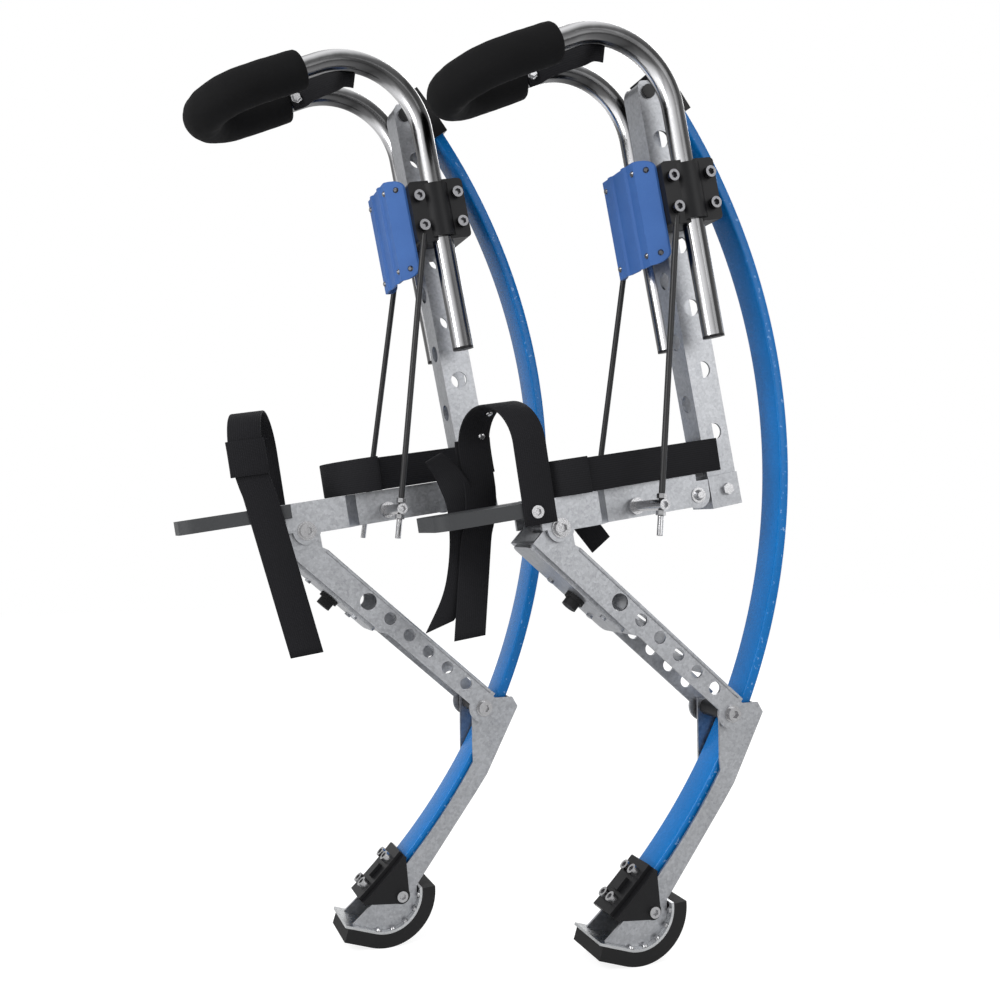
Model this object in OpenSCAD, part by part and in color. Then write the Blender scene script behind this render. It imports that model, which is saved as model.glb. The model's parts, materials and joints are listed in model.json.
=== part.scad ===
// A pair of spring-leaf jumping stilts, the right one standing a step ahead of the left.
// Millimetres. +X is the wearer's left, the toes point to -Y, +Z is up, and the soles stand on Z = 0.

/* [Pair] */
// Distance between the middles of the two stilts, side to side
pair_gap = 158; // [150:1:400]
// How far the right stilt stands ahead of the left one
pair_step = 250; // [200:1:500]

/* [Foot frame] */
// Height of the front pivot above the ground
pivot_z = 490; // [480:1:500]
// Slope of the foot frame, heel up
deck_slope = 8.5; // [6:0.5:10]
// Thickness of the side plates
plate_t = 4.5; // [3:0.5:5]
// Distance between the outer faces of the side plates at the toe end
frame_w = 81; // [78:1:84]
// Height of the side plates above the front pivot
plate_top = 33.5; // [30:0.5:36]
// Width of the foot plate
deck_w = 92; // [90:1:100]
// Sheet thickness of the foot plate
deck_t = 3; // [2:0.5:4]
// Reach of the foot plate ahead of the front pivot
toe_reach = 140; // [110:1:160]

/* [Upright] */
// Forward lean of the upright
lean = 10.6; // [9:0.1:12]
// Width of the upright channel
upright_w = 36; // [32:1:37]
// Depth of the upright channel
upright_d = 38; // [34:1:38]
// Wall of the upright channel
upright_wall = 3; // [2:0.5:4]
// Pitch of the holes along the upright
hole_pitch = 74; // [60:1:80]
// Diameter of the holes along the upright
hole_d = 20; // [10:1:22]

/* [Knee bar] */
// Outer diameter of the knee bar tube
tube_d = 25; // [22:0.5:26]
// Wall of the knee bar tube
tube_wall = 1.5; // [1:0.1:3]
// Distance between the two legs of the knee bar
tube_gap = 108; // [104:1:116]
// Height of the lower ends of the knee bar, along the upright
tube_low = 192; // [170:1:220]
// Height at which the knee bar starts to bend forward
tube_bend = 452; // [445:1:470]
// Radius of the forward bend
bend_r = 90; // [75:1:110]
// Angle of the forward bend
bend_a = 104; // [98:1:110]
// Straight length of each arm ahead of the forward bend
arm_l = 81; // [60:1:110]
// Outer diameter of the foam sleeve
foam_d = 46; // [38:1:54]
// Bare length of each arm behind the foam sleeve
foam_start = 19; // [16:1:34]

/* [Clamps and stays] */
// Height of the middle of the clamps, along the upright
clamp_z = 356; // [345:1:365]
// Height of the clamps
clamp_h = 71; // [64:1:78]
// Depth of the clamps, front to back
clamp_d = 68; // [66:1:80]
// Outer thickness of the clamp caps
cap_t = 13.7; // [12:0.1:16]
// Diameter of the clamp bolts
bolt_d = 8; // [6:1:8]
// Width of the calf plate
calf_w = 106; // [94:1:106]
// Height of the calf plate
calf_h = 118; // [100:1:130]
// Sheet thickness of the calf plate
calf_t = 2.5; // [1.5:0.5:4]
// Diameter of the stays
stay_d = 7; // [6.5:0.5:8]
// Length of the cross bar
bar_l = 190; // [184:1:200]
// Diameter of the cross bar
bar_d = 12; // [11:0.5:13]

/* [Lower arm] */
// Distance of the rear pivot from the front one, along the arm
arm_reach = 305.4; // [303:0.1:308]
// How far the rear pivot lies below the line of the arm's upper edge
arm_drop = 21.8; // [20:0.1:23]
// Downward slope of the arm
arm_slope = 41.3; // [41:0.1:42]
// Width of the arm channel
arm_w = 70; // [68:1:71]
// Depth of the arm channel
arm_d = 33; // [31:1:38]
// Wall of the arm channel
arm_wall = 3.5; // [2.5:0.5:4]

/* [Leaf spring] */
// Width of the leaf spring
leaf_w = 40; // [34:1:42]
// Thickness of the leaf spring
leaf_t = 12; // [10:0.5:16]
// Radius of the spring's middle line
leaf_r = 701.5; // [670:0.5:730]

/* [Foot] */
// Width of the foot channel
foot_w = 52; // [50:1:54]
// Wall of the foot channel
foot_wall = 3; // [2:0.5:3.5]
// Thickness of the rubber sole
sole_t = 16; // [12:0.5:18]
// Width of the rubber sole
sole_w = 70; // [62:1:76]

/* [Straps] */
// Width of the webbing
web_w = 38; // [30:1:40]
// Thickness of the webbing
web_t = 2.6; // [1.5:0.1:3.5]
// Height of the toe strap's arch above the front pivot
toe_arch = 147; // [120:1:180]
// Length of the toe strap's tail below the front pivot
toe_tail = 140; // [60:1:180]

/* [Hidden] */
PIECES = [
    "upright_channel", "base_shoe", "frame_plates", "foot_plate", "frame_fasteners",
    "front_pivot_bolt", "cross_bar", "stay_rods", "clamp_core", "clamp_caps", "clamp_fasteners",
    "calf_plate", "knee_bar", "knee_foam", "knee_strap", "knee_bar_plugs", "arm_channel",
    "arm_bumper", "rear_pivot_bolt", "rear_pivot_sleeves", "foot_channel", "spring_clamp",
    "foot_fasteners", "hoof_plate", "hoof_sole", "leaf_spring", "spring_bracket", "spring_pin",
    "toe_strap", "ankle_strap"
];
$fn = 40;

// Clearances: a running fit and a bolt hole, both on the radius, and the gap between two pieces
run_fit = 0.05;
bolt_fit = 0.1;
gap = 0.3;
far = 400;
// Bead that joins two runs of one tube or strap
weld = 0.04;

// Finishes
satin = "#b3b6b8";
chrome = "#d5d8dc";
black = "#1c1d1f";
webbing = "#202124";
deck_grey = "#4a4c4e";
leaf_blue = "#2478cf";
calf_blue = "#3f68ad";
zinc = "#c2c4c6";

// Foot frame, from the front pivot
plate_out = frame_w / 2;
plate_in = plate_out - plate_t;
heel_in = upright_w / 2 + gap + 0.2;
heel_out = heel_in + plate_t;
plate_low = -4;
plate_front = -22;
jog_from = 48;
jog_to = 66;
dome = [185, 9];
dome_r = 15.5;
lobe_r = 16;
deck_low = plate_top - 0.5 - deck_t;
deck_back = 198;
lip_back = -15;
lip_t = 3.3;
lip_h = 16;
toe_corner = 16;
cross = [101.5, 9];
toe_bolt = [-29, 22];
pivot_d = 12;
stud_d = 6;

// Upright, from the heel
heel_y = 222;
heel_z = 520;
pin_y = -6;
pin_z = 486;
pin_d = 10;
upright_top = pin_z + 13;
upright_foot = -2;
shoe_low = -6;
shoe_high = 32;
shoe_bolt_z = 14;
pin_at = [
    heel_y + pin_y * cos(lean) - pin_z * sin(lean), heel_z + pin_y * sin(lean) + pin_z * cos(lean)
];

// Knee bar and clamps
tube_x = tube_gap / 2;
core_x = tube_x - gap;
cap_in = tube_x + gap;
cap_out = tube_x + cap_t;
rib_r = tube_d / 2 + 5;
clamp_low = clamp_z - clamp_h / 2;
bolt_y = upright_d / 2 + bolt_d / 2 + 1;
bolt_z = 17.5;
calf_low = clamp_z - 74;
calf_flat = 39;
calf_out = 19;
calf_rib_x = 17;
calf_rib = 2.5;
strap_l = 28;

// Stays, in the stilt's own frame
function on_mast(p) = [
    p[0], heel_y + p[1] * cos(lean) - p[2] * sin(lean), heel_z + p[1] * sin(lean) + p[2] * cos(lean)
];
function on_deck(p) = [
    p[0], p[1] * cos(deck_slope) - p[2] * sin(deck_slope),
    pivot_z + p[1] * sin(deck_slope) + p[2] * cos(deck_slope)
];
stay_head = on_mast([tube_x + 7, -24, clamp_low + 9]);
stay_foot = on_deck([bar_l / 2 - 9, cross[0], cross[1]]);
stay_l = norm(stay_head - stay_foot);
stud_l = 34;

// Lower arm, from the front pivot
arm_out = arm_w / 2;
arm_in = arm_out - arm_wall;
arm_web_from = 44;
arm_web_end = 258;
arm_front_end = 146;
arm_holes = 143.6;
arm_pitch = 31.1;
arm_hole_d = 15;
doubler_t = 4;
doubler_end = 140;
bumper_at = 78;
rear_d = 10;
rear_slack = 2.5;
rear_at = [
    arm_reach * cos(arm_slope) - arm_drop * sin(arm_slope),
    pivot_z - arm_reach * sin(arm_slope) - arm_drop * cos(arm_slope)
];

// Leaf spring: one arc about a middle ahead of the stilt
leaf_mid = [-399, 566];
leaf_from = -47.3;
leaf_to = 39.9;
leaf_back = leaf_mid[0] + leaf_r + leaf_t / 2;
bracket_t = 4.5;
spring_turn = 17;
leaf_front_r = leaf_r - leaf_t / 2;
leaf_rear_r = leaf_r + leaf_t / 2;

// Foot: the sole is a straight toe and a round heel about one middle
foot_out = foot_w / 2;
foot_in = foot_out - foot_wall;
heel_r = 52 + sole_t / 2;
sole_mid = [91, heel_r];
sole_in = heel_r - sole_t;
hoof_t = 3;
hoof_r = sole_in - 0.1;
toe_dip = 18;
toe_l = 33;
heel_turn = 95;
cross_bolt = [111, 57];
clamp_from = -47.9;
clamp_to = -42;
clamp_thick = 9;
ear_in = foot_out + gap;
ear_t = 4;

// Straps
toe_leg = deck_w / 2 + gap;
toe_y = -40;
toe_skew = 0.32;
ankle_low = plate_top + 0.5;
ankle_r = 50;
ankle_y = 35;

// Place in the pair: the origin lies under the middle of both stilts
toe_tip = on_deck([0, -toe_reach, deck_low + deck_t])[1];
stilt_y = -(leaf_back + toe_tip) / 2;

module left() {
    translate([pair_gap / 2, stilt_y + pair_step / 2, 0]) children();
}

module right() {
    translate([-pair_gap / 2, stilt_y - pair_step / 2, 0]) children();
}

// Frames of the sloping deck, the leaning upright and the sloping arm
module deck() {
    translate([0, 0, pivot_z]) rotate([deck_slope, 0, 0]) children();
}

module mast() {
    translate([0, heel_y, heel_z]) rotate([lean, 0, 0]) children();
}

module arm() {
    translate([0, 0, pivot_z]) rotate([-arm_slope, 0, 0]) children();
}

// Helpers: a side view pushed across the stilt, a bar across it, both sides, a rod between points
module across(w) {
    rotate([90, 0, 90]) linear_extrude(w, center = true) children();
}

module bar_x(from, to, d, at) {
    translate([from, at[0], at[1]]) rotate([0, 90, 0]) cylinder(d = d, h = to - from);
}

module facing_x(x, at) {
    translate([x, at[0], at[1]]) rotate([0, 90, 0]) children();
}

module both() {
    children();
    mirror([1, 0, 0]) children();
}

module along(p, q) {
    d = q - p;
    translate(p) rotate([0, acos(d[2] / norm(d)), atan2(d[1], d[0])]) children();
}

module soft_rect(w, h, r) {
    square([w - 2 * r, h], center = true);
    square([w, h - 2 * r], center = true);
    for (x = [-1, 1], y = [-1, 1]) {
        translate([x * (w / 2 - r), y * (h / 2 - r)]) circle(r);
    }
}

module hex_head(d, h) {
    cylinder(d = d, h = h, $fn = 6);
}

module socket_head(d, h) {
    difference() {
        cylinder(d = d, h = h);
        translate([0, 0, h * 0.4]) hex_head(d * 0.6, h);
    }
}

module ring(d_out, d_in) {
    difference() {
        circle(d = d_out);
        circle(d = d_in);
    }
}

module arc_band(r_in, r_out, from, to) {
    translate(leaf_mid) intersection() {
        difference() {
            circle(r_out, $fn = 240);
            circle(r_in, $fn = 240);
        }
        polygon([[0, 0], 2 * r_out * [cos(from), sin(from)], 2 * r_out * [cos(to), sin(to)]]);
    }
}

// Upright and its shoe
module upright_channel() {
    cut_r = leaf_front_r - bracket_t - 0.6;
    color(satin) difference() {
        mast() difference() {
            across(upright_w) intersection() {
                union() {
                    translate([-upright_d / 2, upright_foot]) square([upright_d, pin_z - upright_foot]);
                    translate([0, pin_z]) circle(d = upright_d);
                }
                translate([-far, upright_foot]) square([2 * far, upright_top - upright_foot]);
            }
            translate([-upright_w / 2 + upright_wall, -upright_d / 2 + upright_wall, -far])
                cube([upright_w - 2 * upright_wall, upright_d, 3 * far]);
            for (k = [0:4]) {
                bar_x(-far, far, hole_d, [0, 83 + k * hole_pitch]);
            }
            bar_x(-far, far, hole_d, [0, pin_z - 56]);
            for (k = [0:2]) {
                translate([0, -upright_d, 120 + k * hole_pitch]) rotate([-90, 0, 0])
                    cylinder(d = hole_d, h = upright_d);
            }
            bar_x(-far, far, pin_d + 2 * bolt_fit, [pin_y, pin_z]);
            bar_x(-far, far, bolt_d + 2 * bolt_fit, [0, shoe_bolt_z]);
        }
        across(2 * upright_w) arc_band(cut_r, cut_r + 60, 25, 55);
        across(2 * upright_w) translate(pin_at) rotate(spring_turn) translate(-pin_at)
            arc_band(cut_r, cut_r + 60, 25, 55);
    }
}

module base_shoe() {
    front = upright_d / 2 + gap;
    shoe_x = heel_out + 0.5;
    color(satin) difference() {
        union() {
            mast() difference() {
                translate([-shoe_x, -front - 2.7, shoe_low])
                    cube([2 * shoe_x, front + 20.2, shoe_high - shoe_low]);
                translate([-upright_w / 2 - gap, -front, upright_foot])
                    cube([upright_w + 2 * gap, far, far]);
            }
            deck() translate([-heel_in + gap, dome[0] - 18, -2])
                cube([2 * heel_in - 2 * gap, 35, 26]);
        }
        mast() translate([-upright_w / 2 - gap, -front, upright_foot])
            cube([upright_w + 2 * gap, far, far]);
        mast() bar_x(-far, far, bolt_d + 2 * bolt_fit, [0, shoe_bolt_z]);
        deck() bar_x(-far, far, bolt_d + 2 * bolt_fit, dome);
    }
}

// Foot frame
module plate_plan() {
    polygon([
        [plate_in, plate_front - 20], [plate_out, plate_front - 20], [plate_out, jog_from + 2],
        [heel_out, jog_to], [heel_out, far], [heel_in, far], [heel_in, jog_to - 1],
        [plate_in, jog_from]
    ]);
}

module plate_side() {
    circle(lobe_r);
    translate([plate_front, 0]) square([lobe_r - plate_front, deck_low - gap]);
    translate([lip_back + 1, plate_low]) square([dome[0] - lip_back - 1, plate_top - plate_low]);
    translate(dome) circle(dome_r);
    translate([dome[0] - 1, dome[1]]) square([dome_r + 1, plate_top - dome[1] - 8]);
}

module frame_plates() {
    color(satin) deck() difference() {
        intersection() {
            both() translate([0, 0, -far / 2]) linear_extrude(far) plate_plan();
            across(far) plate_side();
        }
        bar_x(-far, far, pivot_d + 2 * bolt_fit, [0, 0]);
        bar_x(-far, far, bar_d + 2 * bolt_fit, cross);
        bar_x(-far, far, bolt_d + 2 * bolt_fit, dome);
    }
}

module deck_plan(inset) {
    w = deck_w - 2 * inset;
    l = lip_back + toe_reach;
    translate([0, (lip_back - toe_reach) / 2]) soft_rect(w, l - 2 * inset, toe_corner - inset);
    translate([-w / 2, lip_back - l / 2]) square([w, l / 2 + (inset > 0 ? far : 0)]);
}

module foot_plate() {
    inner = plate_in - gap;
    narrow = heel_in - gap;
    color(deck_grey) deck() difference() {
        union() {
            difference() {
                translate([0, 0, deck_low + deck_t - lip_h]) linear_extrude(lip_h) deck_plan(0);
                translate([0, 0, deck_low - far]) linear_extrude(far) deck_plan(lip_t);
            }
            translate([0, 0, deck_low]) linear_extrude(deck_t) polygon([
                [-inner, lip_back - 5], [inner, lip_back - 5], [inner, jog_from - 1],
                [narrow, jog_to - 2], [narrow, deck_back], [-narrow, deck_back],
                [-narrow, jog_to - 2], [-inner, jog_from - 1]
            ]);
        }
        for (k = [0:4], x = [-1, 0, 1]) {
            translate([x * 26, -120 + k * 24, 0]) cylinder(d = 8, h = far);
        }
        bar_x(-far, far, 6 + 2 * bolt_fit, toe_bolt);
    }
}

module frame_fasteners(outer) {
    nut_h = 5;
    shoe_x = heel_out + 0.5;
    color(zinc) {
        deck() {
            mirror([outer < 0 ? 1 : 0, 0, 0]) {
                bar_x(deck_w / 2 - lip_t - 2, toe_leg + web_t, 6, toe_bolt);
                facing_x(toe_leg + web_t, toe_bolt) socket_head(14, 4.5);
                facing_x(deck_w / 2 - lip_t - 5, toe_bolt) hex_head(10, 5);
            }
            bar_x(-heel_out, heel_out, bolt_d, dome);
            both() facing_x(heel_out, dome) {
                cylinder(d = 18, h = 1.5);
                cylinder(d1 = 14, d2 = 8, h = 7);
            }
        }
        mast() {
            bar_x(-shoe_x, shoe_x, bolt_d, [0, shoe_bolt_z]);
            both() facing_x(shoe_x, [0, shoe_bolt_z]) hex_head(14, 5.5);
        }
        both() along(stay_foot, stay_head) for (z = [-bar_d / 2 - nut_h - 0.8, bar_d / 2 + 0.8]) {
            translate([0, 0, z]) difference() {
                hex_head(11, nut_h);
                translate([0, 0, -1]) cylinder(d = stud_d + 2 * bolt_fit, h = nut_h + 2);
            }
        }
    }
}

module front_pivot_bolt() {
    color(zinc) deck() {
        bar_x(-plate_out, plate_out, pivot_d, [0, 0]);
        facing_x(plate_out, [0, 0]) {
            cylinder(d = 22, h = 1.5);
            socket_head(17, 6);
        }
        mirror([1, 0, 0]) facing_x(plate_out, [0, 0]) {
            cylinder(d = 22, h = 1.5);
            hex_head(19, 7);
        }
    }
}

module cross_bar() {
    color(zinc) difference() {
        deck() difference() {
            union() {
                bar_x(-bar_l / 2, bar_l / 2, bar_d, cross);
                both() bar_x(heel_out + gap, heel_out + 7, bar_d + 7, cross);
            }
            both() bar_x(bar_l / 2 - 4, far, bar_d * 0.6, cross);
        }
        both() along(stay_foot, stay_head) translate([0, 0, -20])
            cylinder(d = stud_d + 2 * bolt_fit, h = 40);
    }
}

module stay_rods() {
    rod_from = bar_d / 2 + 7;
    color(black) both() along(stay_foot, stay_head) {
        translate([0, 0, -stud_l]) cylinder(d = stud_d, h = stud_l + rod_from);
        translate([0, 0, rod_from]) cylinder(d = stay_d, h = stay_l - rod_from);
    }
}

// Clamps
module clamp_bolt_places() {
    for (y = [-1, 1], z = [-1, 1]) {
        translate([0, y * bolt_y, clamp_z + z * bolt_z]) children();
    }
}

module clamp_cuts() {
    both() translate([tube_x, 0, 0]) cylinder(d = tube_d + 2 * run_fit, h = 2 * far);
    clamp_bolt_places() bar_x(-far, far, bolt_d + 2 * bolt_fit, [0, 0]);
}

module clamp_core() {
    color(black) mast() difference() {
        translate([0, 0, clamp_z]) across(2 * core_x) soft_rect(clamp_d, clamp_h, 5);
        translate([-upright_w / 2 - gap, -upright_d / 2 - gap, 0])
            cube([upright_w + 2 * gap, upright_d + 2 * gap, 2 * far]);
        clamp_cuts();
    }
}

module clamp_caps() {
    color(black) difference() {
        mast() difference() {
            both() {
                translate([(cap_in + cap_out) / 2 - 2, 0, clamp_z]) across(cap_out - cap_in - 4)
                    soft_rect(clamp_d, clamp_h, 5);
                intersection() {
                    translate([tube_x, 0, clamp_low + 4]) cylinder(r = rib_r, h = clamp_h - 8);
                    translate([cap_in, -far / 2, 0]) cube([far, far, 2 * far]);
                }
            }
            clamp_cuts();
        }
        both() along(stay_foot, stay_head) cylinder(d = stay_d + 2 * bolt_fit, h = stay_l + 0.5);
    }
}

module calf_rivet_places() {
    wing_x = (calf_flat + calf_w / 2) / 2;
    wing_a = atan(calf_out / (calf_w / 2 - calf_flat));
    for (z = [12, calf_h - 12]) both() {
        translate([calf_flat - 5, -clamp_d / 2 - calf_out, calf_low + z]) rotate([90, 0, 0]) children();
        translate([wing_x, -clamp_d / 2 - calf_out / 2, calf_low + z]) rotate([90, 0, wing_a])
            translate([0, 0, calf_t * cos(wing_a) - calf_t]) children();
    }
}

module clamp_fasteners() {
    head_x = cap_out - 4;
    color(zinc) mast() {
        clamp_bolt_places() {
            bar_x(-head_x, head_x, bolt_d, [0, 0]);
            facing_x(head_x, [0, 0]) socket_head(13, 8);
            mirror([1, 0, 0]) facing_x(head_x, [0, 0]) hex_head(14, 6.5);
        }
        calf_rivet_places() {
            translate([0, 0, -2.5]) cylinder(d = 5, h = 1);
            translate([0, 0, -2]) cylinder(d = 3, h = calf_t + 3);
            translate([0, 0, calf_t + 0.1]) cylinder(d1 = 7, d2 = 4, h = 1.8);
        }
    }
}

module calf_section() {
    side = [
        [calf_rib_x - 6, -calf_out], [calf_rib_x - 3, -calf_out - calf_rib],
        [calf_rib_x + 3, -calf_out - calf_rib], [calf_rib_x + 6, -calf_out],
        [calf_flat, -calf_out], [calf_w / 2, 0]
    ];
    back = concat([for (i = [5:-1:0]) [-side[i][0], side[i][1]]], side);
    polygon(concat(back, [for (i = [11:-1:0]) back[i] - [0, calf_t]]));
}

module calf_plate() {
    color(calf_blue) mast() difference() {
        intersection() {
            translate([0, -clamp_d / 2, calf_low]) linear_extrude(calf_h) calf_section();
            translate([0, 0, calf_low + calf_h / 2]) rotate([90, 0, 0])
                linear_extrude(far) soft_rect(calf_w, calf_h, 12);
        }
        calf_rivet_places() translate([0, 0, -5]) cylinder(d = 3 + 2 * bolt_fit, h = 12);
    }
}

// Knee bar: one tube in straight and round runs
module arms() {
    translate([0, -bend_r, tube_bend]) rotate([bend_a, 0, 0]) translate([0, bend_r, 0]) children();
}

module run(l, d_out, d_in) {
    linear_extrude(l) ring(d_out, d_in);
}

module bend(r, d_out, d_in, a) {
    rotate_extrude(angle = a) translate([r, 0]) ring(d_out, d_in);
}

module knee_bar() {
    d_in = tube_d - 2 * tube_wall;
    color(chrome) mast() {
        both() {
            translate([tube_x, 0, tube_low]) run(tube_bend - tube_low, tube_d, d_in);
            translate([tube_x, -bend_r, tube_bend]) rotate([90, 0, 90])
                bend(bend_r, tube_d, d_in, bend_a);
            arms() translate([tube_x, 0, 0]) run(arm_l, tube_d, d_in);
            arms() translate([tube_x, 0, -0.5]) run(1, tube_d + weld, d_in - weld);
        }
        arms() translate([0, 0, arm_l]) rotate([90, 0, 0]) bend(tube_x, tube_d, d_in, 180);
    }
}

module knee_foam() {
    d_in = tube_d + 2 * gap;
    color(black) mast() arms() {
        both() translate([tube_x, 0, foam_start]) run(arm_l - foam_start, foam_d, d_in);
        translate([0, 0, arm_l]) rotate([90, 0, 0]) bend(tube_x, foam_d, d_in, 180);
    }
}

module knee_strap() {
    loop = tube_d + 2 * gap;
    color(webbing) mast() arms() translate([0, 0, foam_start - 1 - strap_l]) {
        both() linear_extrude(strap_l) intersection() {
            translate([tube_x, 0]) ring(loop + 2 * web_t, loop);
            translate([tube_x - loop, -loop]) square([loop, 2 * loop]);
        }
        translate([-tube_x, -loop / 2 - web_t, 0]) cube([tube_gap, web_t - weld, strap_l]);
    }
}

module knee_bar_plugs() {
    color(black) mast() both() translate([tube_x, 0, tube_low]) {
        cylinder(d = tube_d - 2 * tube_wall - 2 * bolt_fit, h = 14);
        translate([0, 0, -3]) cylinder(d = tube_d, h = 3);
    }
}

// Lower arm
module arm_side() {
    circle(lobe_r);
    polygon([
        [-12, -arm_d], [-12, -9], [-8, 10], [12, 10], [27, -2], [34, 0], [arm_reach, 0],
        [arm_reach, -arm_d + 4], [arm_front_end + 8, -arm_d + 4], [arm_front_end, -arm_d]
    ]);
    translate([arm_reach, -arm_drop]) circle(18);
}

module arm_channel() {
    color(satin) arm() {
        difference() {
            across(arm_w) arm_side();
            across(2 * arm_in) polygon([
                [-far, far], [arm_web_from, far], [arm_web_from, -arm_wall], [arm_web_end, -arm_wall],
                [arm_web_end, far], [2 * far, far], [2 * far, -far], [arm_front_end, -far],
                [arm_front_end, arm_wall - arm_d], [-far, arm_wall - arm_d]
            ]);
            bar_x(-far, far, pivot_d + 2 * run_fit, [0, 0]);
            bar_x(-far, far, rear_d + 2 * bolt_fit, [arm_reach, -arm_drop]);
            bar_x(-far, far, arm_hole_d + 5, [arm_holes - arm_pitch - 2.5, -15]);
            for (k = [0:4]) {
                bar_x(-far, far, arm_hole_d, [arm_holes + k * arm_pitch, -13.5]);
            }
            for (k = [0, 2]) {
                translate([0, arm_holes + k * arm_pitch + 13, -10]) cylinder(d = 26, h = 20);
            }
        }
        both() translate([arm_out, 34, -2]) rotate([-90, 0, 0]) cylinder(d = 4, h = arm_reach - 40);
        translate([0, doubler_end / 2 - 5, -arm_d - doubler_t]) linear_extrude(doubler_t)
            soft_rect(arm_w - 14, doubler_end + 10, 8);
        for (k = [[-18, 48], [-18, 112], [18, 112]]) {
            translate([k[0], k[1], -arm_d - doubler_t - 2.5]) hex_head(8, 2.5);
        }
    }
}

module arm_bumper() {
    base = -arm_d - doubler_t;
    color(black) arm() {
        translate([0, bumper_at, base - 5]) cylinder(d = 24, h = 5);
        translate([0, bumper_at, base - 14]) cylinder(d = 18, h = 9);
    }
}

module rear_pivot_bolt() {
    color(zinc) arm() {
        bar_x(-arm_out, arm_out, rear_d, [arm_reach, -arm_drop]);
        facing_x(arm_out, [arm_reach, -arm_drop]) {
            cylinder(d = 20, h = 1.5);
            socket_head(16, 6);
        }
        mirror([1, 0, 0]) facing_x(arm_out, [arm_reach, -arm_drop]) {
            cylinder(d = 20, h = 1.5);
            hex_head(17, 7);
        }
    }
}

module rear_pivot_sleeves() {
    color(black) arm() translate([0, arm_reach, -arm_drop]) rotate([0, 90, 0]) {
        linear_extrude(2 * foot_in - 2 * gap, center = true) ring(19, rear_d + 2 * bolt_fit);
        for (s = [0, 180]) {
            rotate([s, 0, 0]) translate([0, 0, foot_out + gap])
                linear_extrude(arm_in - foot_out - 2 * gap) ring(18, rear_d + 2 * bolt_fit);
        }
    }
}

// Leaf spring and its upper bracket
module leaf_spring() {
    color(leaf_blue) across(leaf_w) arc_band(leaf_front_r, leaf_rear_r, leaf_from, leaf_to);
}

module spring_bracket() {
    lug = upright_w / 2 - upright_wall - gap;
    pin_a = atan2(pin_at[1] - leaf_mid[1], pin_at[0] - leaf_mid[0]);
    pin_r = norm(pin_at - leaf_mid);
    color(black) difference() {
        union() {
            across(leaf_w + 2 * bracket_t)
                arc_band(leaf_front_r - bracket_t, leaf_rear_r + bracket_t, leaf_to - 4.2, leaf_to + 0.8);
            across(2 * lug) {
                translate(pin_at) circle(9.5);
                translate(leaf_mid) rotate(pin_a) translate([pin_r, -9.5])
                    square([leaf_front_r - 1 - pin_r, 19]);
            }
        }
        across(leaf_w + 2 * gap) arc_band(leaf_front_r - gap, leaf_rear_r + gap, 0, leaf_to + 0.03);
        bar_x(-far, far, pin_d + 2 * run_fit, pin_at);
    }
}

module spring_pin() {
    color(black) mast() {
        bar_x(-upright_w / 2, upright_w / 2, pin_d, [pin_y, pin_z]);
        both() bar_x(upright_w / 2, upright_w / 2 + 3, pin_d + 6, [pin_y, pin_z]);
    }
}

// Foot
module inside_sole(r) {
    translate(sole_mid) {
        circle(r, $fn = 72);
        rotate(-toe_dip) translate([-far, weld - r]) square([far, far]);
        square([far, far]);
        translate([-far, 0]) square([far, far]);
    }
}

module sole_band(r_out, r_in, ahead, behind) {
    translate(sole_mid) {
        intersection() {
            difference() {
                circle(r_out, $fn = 72);
                circle(r_in, $fn = 72);
            }
            polygon([
                [0, 0], far * [sin(-toe_dip), -cos(toe_dip)], far * [0, -1], far * [1, -1],
                far * [sin(behind), -cos(behind)]
            ]);
        }
        rotate(-toe_dip) translate([-ahead, -r_out]) square([ahead, r_out - r_in]);
    }
}

module foot_side() {
    ear = rear_at[0] - 12;
    difference() {
        intersection() {
            polygon([
                [ear, 282], [255, 282], [262, 270], [221, 190], [207, 170], [130.5, 66], [130.5, -20],
                [30, -20], [47, 34], [72, 63], [76, 80], [90, 94], [ear, 219.5]
            ]);
            inside_sole(hoof_r - hoof_t - 0.1);
        }
        intersection() {
            translate(leaf_mid) circle(leaf_r, $fn = 240);
            translate([-far, -far]) square([far + ear, 2 * far]);
        }
    }
}

module foot_channel() {
    color(satin) difference() {
        union() {
            difference() {
                across(foot_w) foot_side();
                across(2 * foot_in) polygon([
                    [0, 300], [255 - foot_wall, 300], [262 - foot_wall - 1, 270],
                    [221 - foot_wall - 0.5, 191], [207 - foot_wall - 0.5, 172],
                    [130.5 - foot_wall - 1, 68], [130.5 - foot_wall, -20], [0, -20]
                ]);
            }
            across(2 * foot_in + 1) arc_band(leaf_rear_r + gap, leaf_rear_r + gap + foot_wall, -46, -35);
        }
        bar_x(-far, far, rear_d + 2 * rear_slack, rear_at);
        bar_x(-far, far, bolt_d + 2 * bolt_fit, cross_bolt);
    }
}

module clamp_studs() {
    for (a = [clamp_from + 1.3, clamp_to - 1.3], x = [-1, 1]) {
        translate([x * (leaf_w / 2 + 0.9 - 12), leaf_mid[0], leaf_mid[1]]) rotate([a - 90, 0, 0])
            translate([0, 0, leaf_front_r - gap]) rotate([180, 0, 0]) children();
    }
}

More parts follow.
